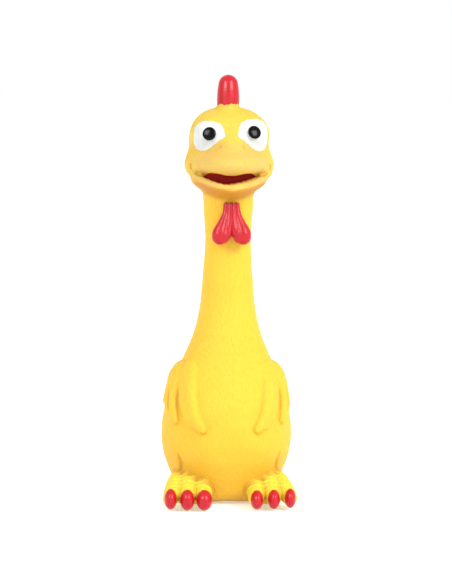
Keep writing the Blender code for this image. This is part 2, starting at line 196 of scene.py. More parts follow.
FEATHER_LINES = [
    [(*on_torso(turn, height, radius - stands), radius) for turn, height, radius, stands in feather]
    for feather in FEATHERS
]
SHOULDER = ((24.5, -2.0, 79.5), (14.2, 15.5, 13.5))
THIGH_CREASE = [(*on_torso(38, 33.5), 0.5), (*on_torso(40, 28, -0.2), 1.3), (*on_torso(37, 22), 0.8)]


def wing(p):
    """The left wing: a row of feathers below a round shoulder."""
    front = join(chain(p, FEATHER_LINES[0]), chain(p, FEATHER_LINES[1]), 2.5)
    for line in FEATHER_LINES[2:]:
        front = join(front, chain(p, line), 0.7)
    return join(front, egg(p, *SHOULDER), 5.0)


def tail(p):
    """Three short feathers, of which the middle one is the longest. Left and right are alike."""
    middle = chain(p, [(0, 30, 43, 9.0), (0, 40, 49, 6.6), (0, 44.6, 54.6, 3.8)])
    side = chain(p, [(6.0, 30, 42, 7.5), (7.4, 38.0, 46.6, 5.4), (8.9, 42.6, 51.4, 3.4)])
    return join(middle, side, 0.8)


def torso(p):
    """The belly, back and neck with the wings and the tail.

    Each detail is worked out only for the points that it can reach.
    """
    x, y, z = p.T
    half = mirrored(p)
    radius = np.interp(z, HEIGHTS, RADII).astype(np.float32)
    flat = flatness(radius)
    round_part = np.hypot(x, y / flat) - radius
    found = round_part / np.interp(z, HEIGHTS, STEEPNESS) * (0.5 + 0.5 * flat)
    low = (z > 38) & (z < 108)
    if low.any():
        found[low] = join(found[low], wing(half[low]), 0.6)
    behind = (y > 15) & (z > 20) & (z < 75)
    if behind.any():
        found[behind] = join(found[behind], tail(half[behind]), 3.0)
    thigh = (z < 45) & (y < 0)
    if thigh.any():
        found[thigh] = carve(found[thigh], chain(half[thigh], THIGH_CREASE), 1.6)
    lift = BASE_LIFT * ramp(-y, LIFT_START, LIFT_END)
    found = -join(-found, z - lift, BASE_ROUNDING)
    base = z < 24
    if base.any():
        seat = np.maximum(np.hypot(x[base], y[base]) - SEAT_RADIUS, z[base] - SEAT_TOP)
        found[base] = carve(found[base], seat, 0.6)
    return np.maximum(found, z - NECK_END)


# ---------------------------------------- feet

# Each toe from the inner one to the outer one, as rows of x, y, z, radius
TOES = [
    [(18.4, -21.0, 13.8, 7.0), (17.7, -30.5, 10.6, 6.2), (17.0, -38.6, 7.4, 5.3)],
    [(25.8, -20.5, 15.4, 7.2), (27.2, -30.5, 11.4, 6.3), (28.0, -39.0, 7.6, 5.2)],
    [(32.2, -18.5, 14.4, 7.0), (35.6, -29.5, 11.0, 6.2), (38.6, -38.2, 7.6, 5.1)],
]
RIDGE_SPACING, RIDGE_HEIGHT, RIDGE_SLANT = 3.7, 0.42, 0.35
FOOT_FILLET, FOOT_REACH, FOOT_INSIDE = 3.2, 3.0, 7.0


def foot(p):
    """Three toes with scale ridges across them, on an ankle and a flat sole. Both feet are alike."""
    half = mirrored(p)
    _, y, z = half.T
    found = egg(half, (25.0, -14.0, 9.0), (12.5, 16.0, 12.5))
    wave = (y + RIDGE_SLANT * z) * (2 * math.pi / RIDGE_SPACING)
    ridges = RIDGE_HEIGHT * np.sin(wave) * ramp(y, -37, -34) * ramp(-y, 16, 22) * ramp(z, 6, 11)
    for toe in TOES:
        found = join(found, chain(half, toe) - ridges, 1.0)
    found = join(found, egg(half, (22.0, 6.0, 3.0), (9.0, 14.0, 6.0)), 3.0)
    return -join(-found, z, 1.2)


def foot_piece(p):
    """A foot with its fillet to the torso. It goes on inside, so that a pressed belly leaves no gap."""
    shape, body = foot(p), torso(p)
    found = np.maximum(join(shape, body + 0.05, FOOT_FILLET), shape - FOOT_REACH)
    return -join(-np.maximum(found, -FOOT_INSIDE - body), p[:, 2], 0.8)


# ---------------------------------------- head

SKULL_MIDDLE, SKULL_RADII, SKULL_POWER = (0.0, 1.0, 235.3), (26.2, 23.5, 23.9), 2.5
MOUTH_REACH, MOUTH_SHIFT, MOUTH_BACK = 17.4, 0.8, -19.0
LOWEST_AT = 2.5  # how far off centre the lower edge of the mouth is lowest
# The line between the beaks beside the mouth, as distances from the middle and heights
SMILE_X = [10.0, 16.2, 19.6, 22.5, 24.5, 26.2, 29.0]
SMILE_Z = [214.6, 214.6, 215.4, 216.4, 217.8, 220.4, 225.0]


def skull(p):
    """A rounded box: an ellipsoid with a higher power."""
    q = np.abs(p - np.array(SKULL_MIDDLE, np.float32)) / np.array(SKULL_RADII, np.float32)
    size = (q**SKULL_POWER).sum(1) ** (1 / SKULL_POWER)
    return (size - 1) * SKULL_RADII[1]


def mouth(p):
    """The opening between the beaks.

    Its upper edge dips in the middle, and its lower edge is lowest a little off centre.
    """
    x, y, z = p.T
    x = x + MOUTH_SHIFT
    share = np.clip(np.abs(x) / MOUTH_REACH, 0, 1.4)
    roof = 215.6 + 1.5 * ramp(share, 0.08, 0.6) - 2.5 * ramp(share, 0.72, 1.0)
    aside = np.abs(x + LOWEST_AT) / np.where(x > -LOWEST_AT, MOUTH_REACH + LOWEST_AT, MOUTH_REACH - LOWEST_AT)
    floor = 210.1 + 4.5 * np.clip(aside, 0, 1.4) ** 1.5 + 0.12 * np.sin(x * 1.7)
    return np.maximum(np.maximum(z - roof, floor - z), y - MOUTH_BACK)


COMB_SHIFT = 1.1  # the comb sits a little off the middle
COMB_POINTS = [
    [(0, -5.5, 252, 7.4), (0, -5.6, 262, 7.3), (0, -5.7, 269, 7.0), (0, -5.7, 273.6, 6.3)],
    [(0, 5.0, 253, 6.6), (0, 5.4, 264, 6.2), (0, 6.4, 270.8, 5.0)],
    [(0, 13.0, 250, 6.0), (0, 14.0, 258, 5.4), (0, 15.6, 264.5, 4.2)],
    [(0, 17.5, 248, 5.0), (0, 20.4, 256.6, 3.4)],
]


def comb(p):
    """Four rounded points in a row, lower towards the back."""
    q = np.column_stack([p[:, 0] + COMB_SHIFT, p[:, 1], p[:, 2]])
    found = chain(q, COMB_POINTS[0])
    for point in COMB_POINTS[1:]:
        found = join(found, chain(q, point), 1.4)
    return found


LIP = [
    (0, -34.0, 207.5, 3.2), (8, -31.8, 208.9, 3.1), (15, -27.2, 211.0, 2.9),
    (20.5, -21.7, 213.4, 2.6), (25.2, -14.5, 216.8, 2.3),
]


def bare_head(p):
    """The head before its creases and small holes."""
    half = mirrored(p)
    found = skull(p)
    found = join(found, egg(half, (13.2, -9.5, 242.2), (12.4, 13.6, 11.6)), 2.6)  # brow and eye
    found = join(found, egg(half, (17.0, -5.5, 221.2), (12.2, 17.0, 9.8)), 7.0)  # cheek
    found = join(found, egg(p, (0, -15.0, 231.0), (11.5, 17.0, 11.0)), 7.0)  # bridge
    found = join(found, egg(p, (0, -18.5, 222.6), (21.0, 24.6, 9.6)), 6.0)  # upper beak
    jaw = egg(p, (0, -4.0, 213.4), (25.2, 21.5, 12.2))
    jaw = join(jaw, egg(p, (0, -4.5, 210.8), (18.0, 20.5, 12.8)), 2.0)
    jaw = join(jaw, chain(half, LIP), 1.3)
    return join(found, jaw, 1.4)


def front_point(field, x, z):
    """The foremost point of a surface at that place across and up."""
    y = np.arange(-50, 0, 0.05)
    line = np.column_stack([np.full_like(y, x), y, np.full_like(y, z)]).astype(np.float32)
    return x, float(y[np.argmax(field(line) < 0)]), z


def marks(places):
    """Points on the front of the head, from rows of x, z, radius and how far out the middle lies."""
    found = []
    for x, z, radius, out in places:
        x, y, z = front_point(bare_head, x, z)
        found.append((x, y - out, z, radius))
    return found


SMILE = marks([(14.5, 214.5, 0.7, 0.0), (19.6, 215.4, 0.7, -0.1), (22.6, 216.7, 0.5, 0.0)])
DIMPLE = marks([(25.7, 220.0, 1.0, -0.4), (25.8, 221.9, 0.9, -0.4)])
NOSTRIL = marks([(7.6, 233.8, 0.8, 0.1), (7.9, 234.2, 0.7, 0.1)])


def head(p):
    """The head with its smile line, dimples, nostrils and comb."""
    found = bare_head(p)
    half = mirrored(p)
    low = (p[:, 2] < 237) & (p[:, 1] < -8)
    if low.any():
        found[low] = carve(found[low], chain(half[low], SMILE), 1.1)
        for hole in (DIMPLE, NOSTRIL):
            found[low] = carve(found[low], chain(half[low], hole, 1), 0.7)
    return join(found, comb(p), 2.6)


def solid(p):
    """The soft skin without the feet and wattles, before the mouth is opened."""
    found = torso(p)
    high = p[:, 2] > 186
    if high.any():
        found[high] = join(found[high], head(p[high]), 3.2)
    return found


def skin(p):
    """The soft skin without the feet and wattles."""
    found = solid(p)
    near = (p[:, 1] < -14) & (p[:, 2] > 204) & (p[:, 2] < 222)
    if near.any():
        found[near] = carve(found[near], mouth(p[near]), 0.9)
    return found


# ---------------------------------------- meshing


COARSE = 4  # fine steps to a coarse one
NEAR_SURFACE = 1.9  # coarse steps from the surface within which the fine grid is worked out
POINTS_AT_ONCE = 400000  # about how many points a field is worked out for in one go, at least
TINY = 1e-5


def grid_points(low, counts, step, index):
    """The points of a grid that have those numbers."""
    ix, iy, iz = np.unravel_index(index, counts)
    return np.column_stack([low[0] + ix * step, low[1] + iy * step, low[2] + iz * step]).astype(np.float32)


def refined(coarse_grid, counts):
    """A coarse grid with each number repeated, to fit a fine grid."""
    for axis in range(3):
        coarse_grid = coarse_grid.repeat(COARSE, axis)
    return coarse_grid[: counts[0], : counts[1], : counts[2]]


def sampled(field, low, high, step):
    """The field on a grid over a box.

    Away from the surface the numbers are rough, and only their sign counts.
    """
    counts = [int(math.ceil((b - a) / step / COARSE)) * COARSE + 1 for a, b in zip(low, high)]
    rough = [(n - 1) // COARSE + 1 for n in counts]
    at = field(grid_points(low, rough, step * COARSE, np.arange(np.prod(rough)))).reshape(rough)
    values = refined(at, counts).copy()
    close = np.abs(at) < step * COARSE * NEAR_SURFACE
    for axis in range(3):
        spread = close.copy()
        ahead = [slice(None)] * 3
        behind = [slice(None)] * 3
        ahead[axis], behind[axis] = slice(1, None), slice(None, -1)
        spread[tuple(ahead)] |= close[tuple(behind)]
        spread[tuple(behind)] |= close[tuple(ahead)]
        close = spread
    wanted = np.flatnonzero(refined(close, counts))
    flat = values.reshape(-1)
    for part in np.array_split(wanted, max(1, len(wanted) // POINTS_AT_ONCE)):
        flat[part] = field(grid_points(low, counts, step, part))
    return values


def surface(field, low, high, step):
    """The field's surface inside a box, as points, triangles and outward directions.

    Each grid cell that the surface passes through gets one point, at the mean of the places where the surface
    crosses the cell's edges. Each crossed edge gets a quad between the four cells around it.
    """
    values = sampled(field, low, high, step)
    flat = values.reshape(-1)
    inside = values < 0
    strides = [values.shape[1] * values.shape[2], values.shape[2], 1]
    cells, spots, quads = [], [], []
    for axis in range(3):
        here = [slice(1, -1)] * 3
        there = [slice(1, -1)] * 3
        here[axis], there[axis] = slice(0, -1), slice(1, None)
        first, second = inside[tuple(here)], inside[tuple(there)]
        crossing = np.argwhere(first != second)
        for other in range(3):
            if other != axis:
                crossing[:, other] += 1
        index = crossing @ np.array(strides)
        a, b = flat[index], flat[index + strides[axis]]
        spot = crossing.astype(np.float32)
        spot[:, axis] += a / (a - b)
        u, v = (axis + 1) % 3, (axis + 2) % 3
        around = [index, index - strides[u], index - strides[u] - strides[v], index - strides[v]]
        outward = a < 0
        quad = np.stack(around, 1)
        quad[~outward] = quad[~outward][:, ::-1]
        quads.append(quad)
        cells.append(np.concatenate(around))
        spots.append(np.tile(spot, (4, 1)))
    cells, spots, quads = np.concatenate(cells), np.concatenate(spots), np.concatenate(quads)
    names, which = np.unique(cells, return_inverse=True)
    total = np.bincount(which, minlength=len(names))
    points = np.stack([np.bincount(which, spots[:, i], len(names)) / total for i in range(3)], 1)
    points = (points * step + np.array(low)).astype(np.float32)
    quads = np.searchsorted(names, quads)
    short = np.linalg.norm(points[quads[:, 0]] - points[quads[:, 2]], axis=1)
    long = np.linalg.norm(points[quads[:, 1]] - points[quads[:, 3]], axis=1)
    turn = short > long
    quads[turn] = np.roll(quads[turn], 1, axis=1)
    triangles = np.concatenate([quads[:, [0, 1, 2]], quads[:, [0, 2, 3]]])
    points, outward = settle(field, points)
    return points, triangles, outward


class Patch:
    """Part of a surface: points, triangles, outward directions, and the field they lie on."""

    def __init__(self, points, triangles, outward, field):
        self.points, self.triangles, self.outward, self.field = points, triangles, outward, field

    def split(self, side):
        """Cuts along the curve where side(points) is 0. Gives the part above 0 and the part below."""
        values = side(self.points).astype(np.float64)
        values[np.abs(values) < TINY] = TINY
        tri = self.triangles
        above = (values > 0)[tri]
        count = above.sum(1)
        kept = {True: [tri[count == 3]], False: [tri[count == 0]]}
        # A triangle that is cut has one lone corner, v0, on its own side of the curve.
        mixed = tri[(count == 1) | (count == 2)]
        up = (values > 0)[mixed]
        lone_is_up = up.sum(1) == 1
        lone = np.where(lone_is_up, up.argmax(1), (~up).argmax(1))
        rows = np.arange(len(mixed))
        v0, v1, v2 = (mixed[rows, (lone + k) % 3] for k in range(3))
        edges = np.concatenate([np.stack([v0, v1], 1), np.stack([v0, v2], 1)])
        unique, which = np.unique(np.sort(edges, 1), axis=0, return_inverse=True)
        which = which.reshape(-1)
        share = values[unique[:, 0]] / (values[unique[:, 0]] - values[unique[:, 1]])
        made = self.points[unique[:, 0]] * (1 - share[:, None]) + self.points[unique[:, 1]] * share[:, None]
        made = made.astype(np.float32)
        made, directions = settle(self.field, made, 1)
        base = len(self.points)
        a, b = which[: len(mixed)] + base, which[len(mixed) :] + base
        small = np.stack([v0, a, b], 1)
        large = np.concatenate([np.stack([a, v1, v2], 1), np.stack([a, v2, b], 1)])
        twice = np.concatenate([lone_is_up, lone_is_up])
        kept[True] += [small[lone_is_up], large[~twice]]
        kept[False] += [small[~lone_is_up], large[twice]]
        points = np.concatenate([self.points, made])
        outward = np.concatenate([self.outward, directions])
        return tuple(
            Patch(points, np.concatenate(kept[is_up]), outward, self.field).packed()
            for is_up in (True, False)
        )

    def packed(self):
        """Drops the points that no triangle uses."""
        used, index = np.unique(self.triangles, return_inverse=True)
        self.triangles = index.reshape(-1, 3)
        self.points, self.outward = self.points[used], self.outward[used]
        return self

    def above(self, side):
        return self.split(side)[0]

    def below(self, side):
        return self.split(side)[1]


SKIN_WALL, LINING_WALL = 1.6, 0.6
FINE_FOLD, WIDE_FOLD = 2.0, 4.5


def crease_depth(field, points, outward, reach):
    """How closed in each point is, from which shade is painted: 0 on open skin, 1 deep in a fold of about
    that size.
    """
    return np.clip(1 - field(points + outward * reach) / reach, 0, 1)


def chin_shade_share(points, outward):
    """Where shade is painted under the front of the head: 1 on its underside, fading to 0 around it."""
    under = ramp(-outward[:, 2], 0.10, 0.65) * ramp(points[:, 2], 192, 200) * ramp(-points[:, 2], -220, -212)
    return under * ramp(-points[:, 1], -4, 14)


def build(name, patch, material, wall=SKIN_WALL, shares=None):
    """A piece from a patch, closed with an inner wall if it has an edge.

    The material reads a number per point for the painted shade in folds and under the chin, and the further
    ones that shares works out.
    """
    points, triangles, outward = patch.points, patch.triangles, patch.outward
    # Masks for painted shade: in folds of two sizes, and under the chin
    numbers = {
        "crease_shade_fine": crease_depth(patch.field, points, outward, FINE_FOLD),
        "crease_shade_wide": crease_depth(patch.field, points, outward, WIDE_FOLD),
        "chin_shade": chin_shade_share(points, outward),
    }
    numbers.update({label: side(points) for label, side in (shares or {}).items()})
    edges = np.concatenate([triangles[:, [0, 1]], triangles[:, [1, 2]], triangles[:, [2, 0]]])
    key = np.sort(edges, 1)
    _, first, count = np.unique(key, axis=0, return_index=True, return_counts=True)
    rim = edges[first[count == 1]]
    faces, where = [triangles], points
    if len(rim):
        n = len(points)
        where = np.concatenate([points, points - outward * wall])
        outward = np.concatenate([outward, -outward])
        numbers = {label: np.concatenate([values, values]) for label, values in numbers.items()}
        faces.append(triangles[:, ::-1] + n)
        faces.append(np.stack([rim[:, 1], rim[:, 0], rim[:, 0] + n], 1))
        faces.append(np.stack([rim[:, 1], rim[:, 0] + n, rim[:, 1] + n], 1))
    faces = np.concatenate(faces)
    mesh = bpy.data.meshes.new(name)
    mesh.vertices.add(len(where))
    mesh.vertices.foreach_set("co", (where * MM).astype(np.float32).ravel())
    mesh.loops.add(faces.size)
    mesh.loops.foreach_set("vertex_index", faces.astype(np.int32).ravel())
    mesh.polygons.add(len(faces))
    mesh.polygons.foreach_set("loop_start", np.arange(0, faces.size, 3, dtype=np.int32))
    mesh.update(calc_edges=True)
    mesh.shade_smooth()
    mesh.normals_split_custom_set_from_vertices(outward.astype(np.float64).tolist())
    for label, values in numbers.items():
        attribute = mesh.attributes.new(label, "FLOAT", "POINT")
        attribute.data.foreach_set("value", values.astype(np.float32))
    mesh.materials.append(material)
    obj = bpy.data.objects.new(name, mesh)
    bpy.context.scene.collection.objects.link(obj)
    return obj


# ---------------------------------------- materials


class Shader:
    """A node material in the making."""

    def __init__(self, name, roughness, **sockets):
        self.material = bpy.data.materials.new(name)
        self.material.use_nodes = True
        self.tree = self.material.node_tree
        self.shader = self.tree.nodes["Principled BSDF"]
        self.shader.inputs["Roughness"].default_value = roughness
        for label, value in sockets.items():
            self.shader.inputs[label.replace("_", " ")].default_value = value
        self.where = self.node("ShaderNodeTexCoord").outputs["Object"]

    def node(self, kind, inputs=None, **settings):
        """A new node. Each input is linked to a socket or set to a value."""
        made = self.tree.nodes.new(kind)
        for label, value in settings.items():
            setattr(made, label, value)
        for label, value in (inputs or {}).items():
            if isinstance(value, bpy.types.NodeSocket):
                self.tree.links.new(value, made.inputs[label])
            else:
                made.inputs[label].default_value = value
        return made

    def stretched(self, scale):
        """The place on the object, scaled differently along each axis."""
        return self.node("ShaderNodeMapping", {"Vector": self.where, "Scale": scale}).outputs["Vector"]

    def noise(self, scale, detail=3.0, roughness=0.55, vector=None):
        inputs = {"Vector": vector or self.where, "Scale": scale, "Detail": detail, "Roughness": roughness}
        return self.node("ShaderNodeTexNoise", inputs).outputs["Fac"]

    def between(self, value, low, high, to_low=0.0, to_high=1.0):
        """Goes smoothly from to_low to to_high as the value goes from low to high."""
        inputs = {"Value": value, "From Min": low, "From Max": high, "To Min": to_low, "To Max": to_high}
        return self.node("ShaderNodeMapRange", inputs, interpolation_type="SMOOTHSTEP").outputs["Result"]

    def mix(self, share, a, b):
        """A colour between two. Its sockets go by number, since the mix node's names repeat."""
        return self.node("ShaderNodeMix", {0: share, 6: a, 7: b}, data_type="RGBA").outputs[2]

    def attribute(self, name):
        return self.node("ShaderNodeAttribute", attribute_name=name).outputs["Fac"]

    def axis(self, letter):
        return self.node("ShaderNodeSeparateXYZ", {"Vector": self.where}).outputs[letter]

    def maths(self, kind, a, b):
        return self.node("ShaderNodeMath", {0: a, 1: b}, operation=kind).outputs["Value"]

    def bump(self, height, distance, strength=1.0, after=None):
        inputs = {"Height": height, "Distance": distance, "Strength": strength}
        if after:
            inputs["Normal"] = after
        return self.node("ShaderNodeBump", inputs).outputs["Normal"]

    def link(self, socket, label):
        self.tree.links.new(socket, self.shader.inputs[label])


def srgb(red, green, blue):
    """A colour from the numbers of an 8-bit picture, as the linear numbers that a shader takes."""
    linear = [c / 255 / 12.92 if c <= 10 else ((c / 255 + 0.055) / 1.055) ** 2.4 for c in (red, green, blue)]
    return (*linear, 1.0)


def latex_material(name):
    """Matt rubber, finely wrinkled, with its colour changing over the body, and with painted shade in its
    folds and under the chin.
    """
    s = Shader(name, 0.5, Subsurface_Weight=0.06, Subsurface_Scale=0.003)
    s.shader.inputs["Subsurface Radius"].default_value = (1.0, 0.4, 0.1)
    s.shader.inputs["Specular IOR Level"].default_value = 0.22
    y, z = s.axis("Y"), s.axis("Z")
    # Straw on the head, and orange low down and on the crown
    blotch = s.noise(34, 2.5)
    low = s.between(z, 0.075, 0.012)
    share = s.maths("ADD", s.maths("MULTIPLY", low, 0.75), s.between(blotch, 0.3, 0.72, -0.1, 0.3))
    share = s.maths("ADD", share, s.between(z, 0.238, 0.262, 0.0, 0.25))
    colour = s.mix(s.between(z, 0.198, 0.214), LEMON, STRAW)
    colour = s.mix(s.between(share, 0.0, 1.0), colour, ORANGE)
    # Peach on the beak, and yellow toes
    beak = s.maths("MULTIPLY", s.between(z, 0.2385, 0.2345), s.between(y, -0.012, -0.024))
    beak = s.maths("MULTIPLY", beak, s.between(z, 0.200, 0.210))
    colour = s.mix(s.maths("MULTIPLY", beak, 0.8), colour, PEACH)
    toe = s.attribute("toe")
    colour = s.mix(toe, colour, TOE)
    # Painted shade: ochre in the folds and a dark brown deepest in them, less so on the toes and the head
    share = s.maths("MULTIPLY", s.between(toe, 0.0, 1.0, 1.0, 0.4), s.between(z, 0.200, 0.214, 1.0, 0.35))
    crease_shade_fine, crease_shade_wide = s.attribute("crease_shade_fine"), s.attribute("crease_shade_wide")
    colour = s.mix(s.maths("MULTIPLY", s.between(crease_shade_wide, 0.05, 0.5, 0.0, 0.5), share), colour, OCHRE_SHADE_AND_GRAIN)
    colour = s.mix(s.maths("MULTIPLY", s.between(crease_shade_fine, 0.08, 0.65, 0.0, 0.7), share), colour, OCHRE_SHADE_AND_GRAIN)
    colour = s.mix(s.maths("MULTIPLY", s.between(crease_shade_fine, 0.55, 1.0, 0.0, 0.35), share), colour, DEEP_SHADE)
    # Wrinkles that run up and down, mottling and a fine grain
    streak = s.noise(1.0, 4.0, 0.66, s.stretched((950, 950, 160)))
    mottle = s.noise(1.0, 3.0, 0.6, s.stretched((620, 620, 420)))
    grain = s.noise(2600, 2.0, 0.5)
    colour = s.mix(s.between(streak, 0.40, 0.66, 0.0, 0.45), colour, ORANGE)
    colour = s.mix(s.between(mottle, 0.48, 0.72, 0.0, 0.36), colour, ORANGE)
    colour = s.mix(s.between(grain, 0.62, 0.8, 0.0, 0.15), colour, OCHRE_SHADE_AND_GRAIN)
    # Painted shade on the underside of the head's front
    colour = s.mix(s.attribute("chin_shade"), colour, CHIN_SHADE)
    s.link(colour, "Base Color")
    s.link(s.between(streak, 0.3, 0.7, 0.42, 0.60), "Roughness")
    first = s.bump(streak, 0.00055, 1.0)
    second = s.bump(mottle, 0.00055, 0.8, first)
    s.link(s.bump(grain, 0.00008, 0.6, second), "Normal")
    return s.material


def paint_material(name, main, deep, roughness, gloss, uneven=0.10):
    """Latex paint, a little uneven in colour and thickness. Its colour goes towards the deeper one in the
    folds, as painted shade.
    """
    s = Shader(name, roughness, Specular_IOR_Level=gloss, Subsurface_Weight=0.05, Subsurface_Scale=0.002)
    brush = s.noise(1.0, 3.0, 0.55, s.stretched((420, 420, 160)))
    colour = s.mix(s.between(brush, 0.4, 0.75, 0.0, uneven * 5), main, deep)
    # Painted shade: the colour goes towards the deeper one in the folds
    fine = s.between(s.attribute("crease_shade_fine"), 0.2, 0.9)
    colour = s.mix(s.maths("MULTIPLY", fine, 0.35), colour, deep)
    s.link(colour, "Base Color")
    first = s.bump(brush, 0.00025, 0.5)
    s.link(s.bump(s.noise(1700, 2.0), 0.00006, 0.5, first), "Normal")
    return s.material


def plastic_material(name, colour):
    s = Shader(name, 0.38)
    darker = tuple(c * 0.93 for c in colour[:3]) + (1.0,)
    s.link(s.mix(s.noise(120, 2.0), colour, darker), "Base Color")
    s.link(s.bump(s.noise(900, 2.0), 0.00005, 0.5), "Normal")
    return s.material


def brass_material(name):
    s = Shader(name, 0.28, Metallic=1.0)
    lines = s.noise(1.0, 2.0, 0.5, s.stretched((3000, 120, 900)))
    s.link(s.mix(lines, srgb(222, 182, 98), srgb(196, 150, 72)), "Base Color")
    s.link(s.between(lines, 0.3, 0.7, 0.22, 0.4), "Roughness")
    return s.material


LEMON, ORANGE = (0.76, 0.465, 0.030, 1.0), (0.68, 0.385, 0.026, 1.0)
STRAW, PEACH, TOE = (0.62, 0.45, 0.060, 1.0), (0.60, 0.40, 0.110, 1.0), (0.75, 0.58, 0.045, 1.0)
# Painted shade: under the chin, in the folds and deepest in the creases; the ochre also tints the fine grain
CHIN_SHADE, OCHRE_SHADE_AND_GRAIN, DEEP_SHADE = (0.55, 0.235, 0.016, 1.0), (0.48, 0.235, 0.012, 1.0), (0.22, 0.08, 0.006, 1.0)
LATEX = latex_material("latex_skin")
RED = paint_material("paint_red", (0.45, 0.006, 0.014, 1.0), (0.31, 0.001, 0.004, 1.0), 0.30, gloss=0.32)
MAROON = paint_material("paint_mouth", (0.48, 0.016, 0.004, 1.0), (0.33, 0.005, 0.002, 1.0), 0.6, gloss=0.2)
WHITE = paint_material(
    "paint_eye_white", (0.55, 0.57, 0.56, 1.0), (0.47, 0.47, 0.49, 1.0), 0.42, gloss=0.3, uneven=0.08
)
BLACK = paint_material("paint_pupil", srgb(5, 5, 4), srgb(2, 2, 2), 0.12, gloss=0.13, uneven=0.02)
PLASTIC = plastic_material("squeaker_plastic", srgb(236, 236, 226))
BRASS = brass_material("reed_brass")

# ---------------------------------------- skin pieces

# The heights at which the neck is cut into pieces, and that of the torso's top
BEND_TOP, SWAY_TOP, TURN_TOP, NOD_TOP, TRUNK_TOP = 135.0, 160.0, 181.0, 199.0, 103.0
HEAD_STEP, BODY_STEP, FOOT_STEP = ((0.55, 0.8, 0.6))
WATTLE_STEP, NAIL_STEP, PUPIL_STEP = 0.4, 0.45, 0.3


def z_above(level):
    """Above 0 on what is higher than the level."""
    return lambda p: p[:, 2] - level


body = Patch(*surface(skin, (-50, -48, -4), (50, 56, 204), BODY_STEP), skin)
head_patch = Patch(*surface(skin, (-36, -52, 194), (36, 34, 284), HEAD_STEP), skin).above(z_above(NOD_TOP))

# Each sleeve of the neck: name, top, the bodies it blends between, where the blend starts and ends, CAD node
rest, trunk = body.below(z_above(NOD_TOP)).split(z_above(TRUNK_TOP))
for name, top, a, b, start, end, node in (
    ("neck_base", BEND_TOP, "torso", "neck_low", 105, 131, "neck_lower"),
    ("neck_lower_skin", SWAY_TOP, "neck_low", "neck_mid", 138, 158, None),
    ("neck_middle_skin", TURN_TOP, "neck_mid", "neck_up", 162, 178, "neck_middle"),
    ("neck_upper_skin", None, "neck_up", "head", 182, 198.8, "neck_upper"),
):
    part = rest
    if top:
        rest, part = rest.split(z_above(top))
    piece = build(name, part, LATEX)
    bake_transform(piece)
    if node:
        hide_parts(node)


def pressed(body_name, patch, level, nodes):
    """A panel that gives when pressed, fully in its middle and less towards its edge.

    It is two pieces that meet at the level where it gives most.
    """
    for label, part, down in zip(("high", "low"), patch.split(z_above(level)), (-1, 1)):
        piece = build(f"torso_{body_name}_{label}", part, LATEX)
        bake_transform(piece)
        if label == "high":
            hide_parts(*nodes)


BELLY_START, BACK_START = -18.0, 12.0
middle, front = trunk.split(lambda p: p[:, 1] - BELLY_START)
back, middle = middle.split(lambda p: p[:, 1] - BACK_START)
pressed("belly", front, 52.0, ["belly_panel"])
pressed("back", back, 55.0, ["back_panel", "tail"])
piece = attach(build("torso_sides", middle, LATEX), "torso")
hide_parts("torso_skin", "wing_left", "wing_right")

# ---------------------------------------- head pieces


def outline_side(corners, soften):
    """How far points lie inside an outline drawn on the front in |x| and z, given anticlockwise."""
    corners = np.array(corners, float)
    following = np.roll(corners, -1, axis=0)

    def side(p):
        flat = np.stack([np.abs(p[:, 0]), p[:, 2]], 1)
        nearest = np.full(len(p), 1e9)
        winding = np.zeros(len(p), bool)
        for a, b in zip(corners, following):
            along = b - a
            share = np.clip((flat - a) @ along / (along @ along), 0, 1)
            nearest = np.minimum(nearest, np.linalg.norm(flat - a - share[:, None] * along, axis=1))
            crosses = (a[1] > flat[:, 1]) != (b[1] > flat[:, 1])
            at = a[0] + (flat[:, 1] - a[1]) / (b[1] - a[1] + 1e-12) * along[0]
            winding ^= crosses & (flat[:, 0] < at)
        return np.where(winding, nearest, -nearest) + soften

    return side


EYE_OUTLINE = [
    (5.4, 241.0), (9.2, 238.6), (13.0, 235.3), (15.6, 233.2), (18.6, 232.3), (21.2, 233.0), (22.4, 236.0),
    (22.7, 241.0), (22.3, 245.2), (20.0, 247.6), (16.2, 249.0), (11.2, 248.5), (7.6, 247.0), (6.2, 244.6),
]
EYE_LIFT = 1.4  # the left eye's lid stands a little higher than the right one's
white_outline = outline_side(EYE_OUTLINE, 1.3)


def eye_side(p):
    """Above 0 on the painted eye whites."""
    lowered = p.copy()
    lowered[:, 2] -= EYE_LIFT * ramp(p[:, 2], 240, 250) * (p[:, 0] > 0)
    ragged = 0.10 * np.sin(p[:, 0] * 2.6 + p[:, 2] * 1.1) + 0.07 * np.sin(p[:, 2] * 3.4 - p[:, 0])
    return np.where(p[:, 1] < 2, white_outline(lowered) + ragged, -1.0)


def comb_side(p):
    """Above 0 on the painted comb, whose paint ends in a ragged line a little above the head."""
    x, y, z = p.T
    line = 260.9 - 0.24 * np.maximum(y + 6, 0) + 0.07 * x
    line += 0.3 * np.sin(x * 0.9 + 0.6) + 0.2 * np.sin(x * 2.3 + y * 0.9) + 0.2 * np.sin(y * 1.7)
    return z - line


def mouth_side(p):
    """Above 0 inside the mouth."""
    x, y, z = p.T
    inside = 0.16 - mouth(p) + 0.03 * np.sin(x * 2.3) + 0.02 * np.sin(x * 5.1 + 2)
    return np.where((y < MOUTH_BACK + 2) & (z > 205) & (z < 221), inside, -1.0)


JAW_FRONT = -18.0  # the lower beak is what lies in front of this


def jaw_side(p):
    """Above 0 on the lower beak, which is all below the smile line."""
    x, y, z = p.T
    return np.minimum(JAW_FRONT - y, np.interp(np.abs(x), SMILE_X, SMILE_Z) - z)


comb_patch, rest = head_patch.split(comb_side)
lining, rest = rest.split(mouth_side)
jaw_patch, rest = rest.split(jaw_side)
jaw_floor, roof = lining.split(jaw_side)
eyes, rest = rest.split(eye_side)
eye_left, eye_right = eyes.split(lambda p: p[:, 0])

